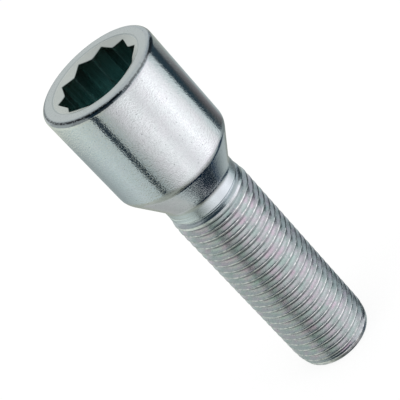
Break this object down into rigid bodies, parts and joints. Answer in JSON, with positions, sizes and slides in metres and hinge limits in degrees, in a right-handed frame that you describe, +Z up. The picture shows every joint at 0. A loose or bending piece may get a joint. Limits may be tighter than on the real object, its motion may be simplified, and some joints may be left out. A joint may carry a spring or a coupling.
{
  "type": "wheel bolt",
  "caption": "One-piece wheel bolt: plain round head with a star-shaped drive socket, conical seat and long threaded shank, to clamp a car wheel to its hub.",
  "frame": {"origin": "centre of the flat end face of the threaded end, on the bolt's axis", "axes": "+Z up the bolt's axis from the threaded end to the head, +X through one point of the star socket"},
  "size_m": [0.02, 0.02, 0.0644],
  "materials": {
    "zinc_plated_steel": "bright zinc plating, satin"
  },
  "bodies": {
    "root": {"wheel_bolt": "zinc_plated_steel"}
  },
  "joints": []
}
